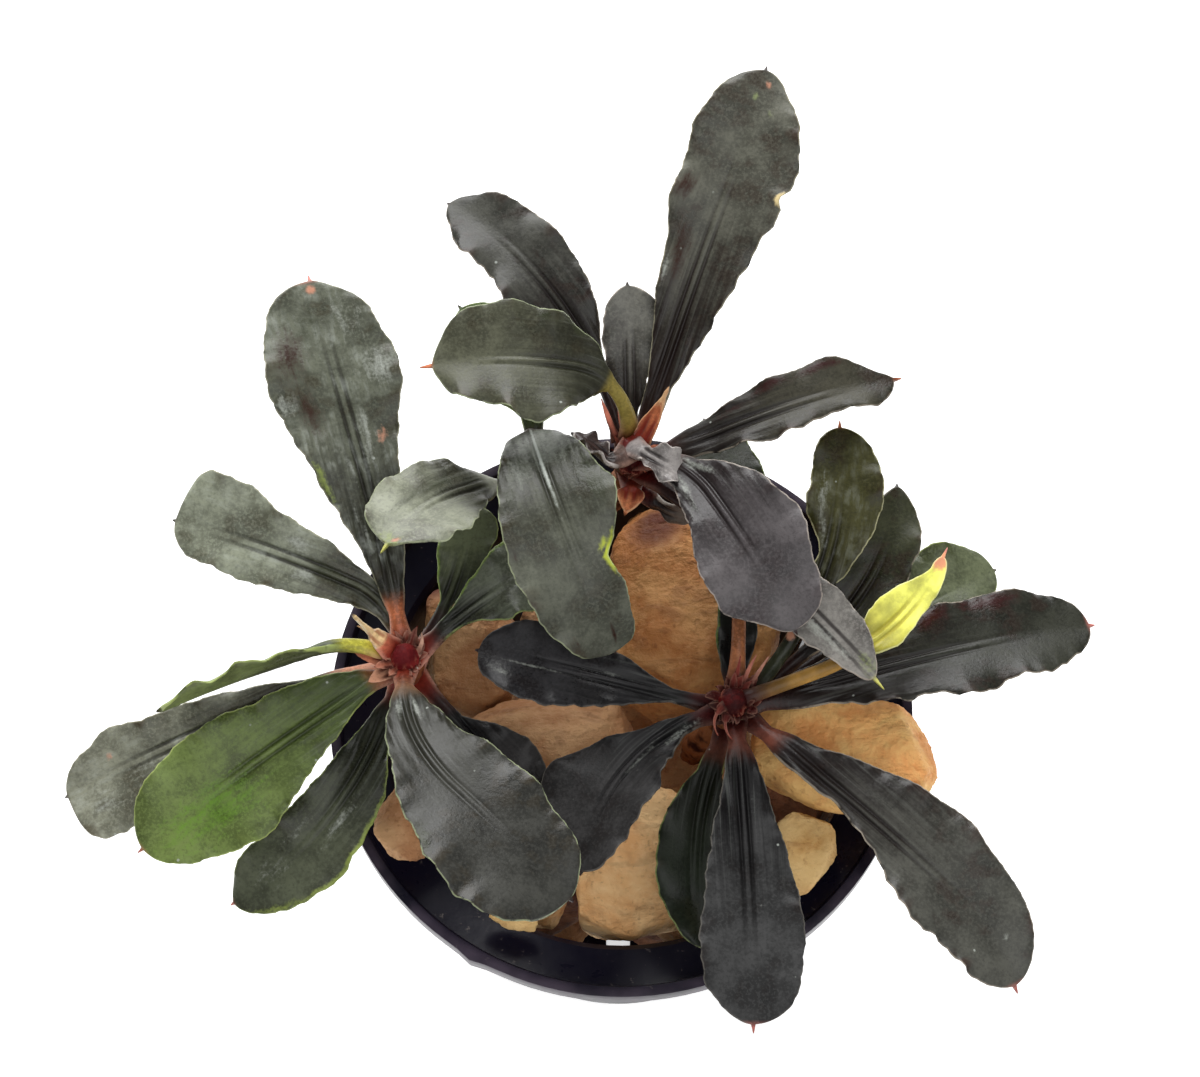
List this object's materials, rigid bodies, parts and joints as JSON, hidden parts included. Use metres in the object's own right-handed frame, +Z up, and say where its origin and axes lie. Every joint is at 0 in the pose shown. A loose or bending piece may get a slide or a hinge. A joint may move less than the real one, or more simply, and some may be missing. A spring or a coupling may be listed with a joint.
{
  "type": "bucephalandra plant in a net pot",
  "caption": "Small aquarium plant with dark wavy leaves on creeping stems, rooted among tan stones in a round slotted plastic net pot that stands on its base.",
  "frame": {"origin": "middle of the pot's flat underside", "axes": "+Z up along the pot's axis, +Y away from the plant's front, +X to its right"},
  "size_m": [0.0964, 0.0874, 0.0766],
  "materials": {
    "pot": "moulded near-black plastic, satin gloss",
    "leaf_dark": "satin near-black green leaf with a purple cast",
    "leaf_green_grey": "satin grey-green leaf",
    "leaf_green": "satin green leaf",
    "leaf_yellow": "young lime-yellow leaf",
    "sheath": "orange-brown papery sheath",
    "stem": "dark red fleshy stem",
    "stone_tan": "rough tan porous rock",
    "stone_orange": "orange-tan worn rock",
    "stone_pale": "pale buff rock",
    "stone_dark": "dark red-brown rock"
  },
  "bodies": {
    "root": {"net_pot": "pot", "stone_back_slab": "stone_tan", "stone_left": "stone_tan", "stone_centre": "stone_tan", "stone_front": "stone_tan", "stone_right_orange": "stone_orange", "stone_pale": "stone_pale", "stone_left_front": "stone_tan", "stone_chip": "stone_pale", "stone_dark": "stone_dark", "stone_right_small": "stone_tan", "stone_left_low": "stone_dark", "stone_front_left": "stone_tan", "stones_lower_1": "stone_tan", "stones_lower_2": "stone_dark", "stones_lower_3": "stone_tan", "stones_lower_4": "stone_tan", "stones_lower_5": "stone_dark", "leaf_top_long": "leaf_dark", "leaf_top_left": "leaf_dark", "leaf_top_oval": "leaf_green_grey", "leaf_top_small": "leaf_dark", "leaf_top_right": "leaf_dark", "leaf_top_front": "leaf_dark", "leaf_top_front_under": "leaf_dark", "leaf_top_curled_left": "leaf_dark", "leaf_top_curled_right": "leaf_dark", "leaf_top_edge": "leaf_dark", "leaf_top_under_oval": "leaf_green", "leaf_middle_large": "leaf_green_grey", "leaf_middle_left": "leaf_green_grey", "leaf_left_tall": "leaf_green_grey", "leaf_left_outer": "leaf_green_grey", "leaf_left_narrow": "leaf_green", "leaf_left_dark": "leaf_dark", "leaf_left_bright": "leaf_green", "leaf_left_low": "leaf_dark", "leaf_left_front": "leaf_green_grey", "leaf_left_behind": "leaf_dark", "leaf_left_upright": "leaf_green", "leaf_left_inner": "leaf_green", "leaf_right_inner": "leaf_dark", "leaf_right_low_left": "leaf_dark", "leaf_right_under": "leaf_dark", "leaf_right_front": "leaf_dark", "leaf_right_low": "leaf_dark", "leaf_right_outer": "leaf_dark", "leaf_right_up": "leaf_green", "leaf_right_up_second": "leaf_dark", "leaf_right_up_third": "leaf_green", "leaf_right_young": "leaf_yellow", "leaf_right_back": "leaf_green", "leaf_right_dark": "leaf_dark", "sheath_top_orange": "sheath", "sheath_top_front": "sheath", "sheath_left_cream": "sheath", "rhizome_left": "stem", "rhizome_right": "stem", "rhizome_top": "stem", "rhizome_middle": "stem"}
  },
  "joints": []
}
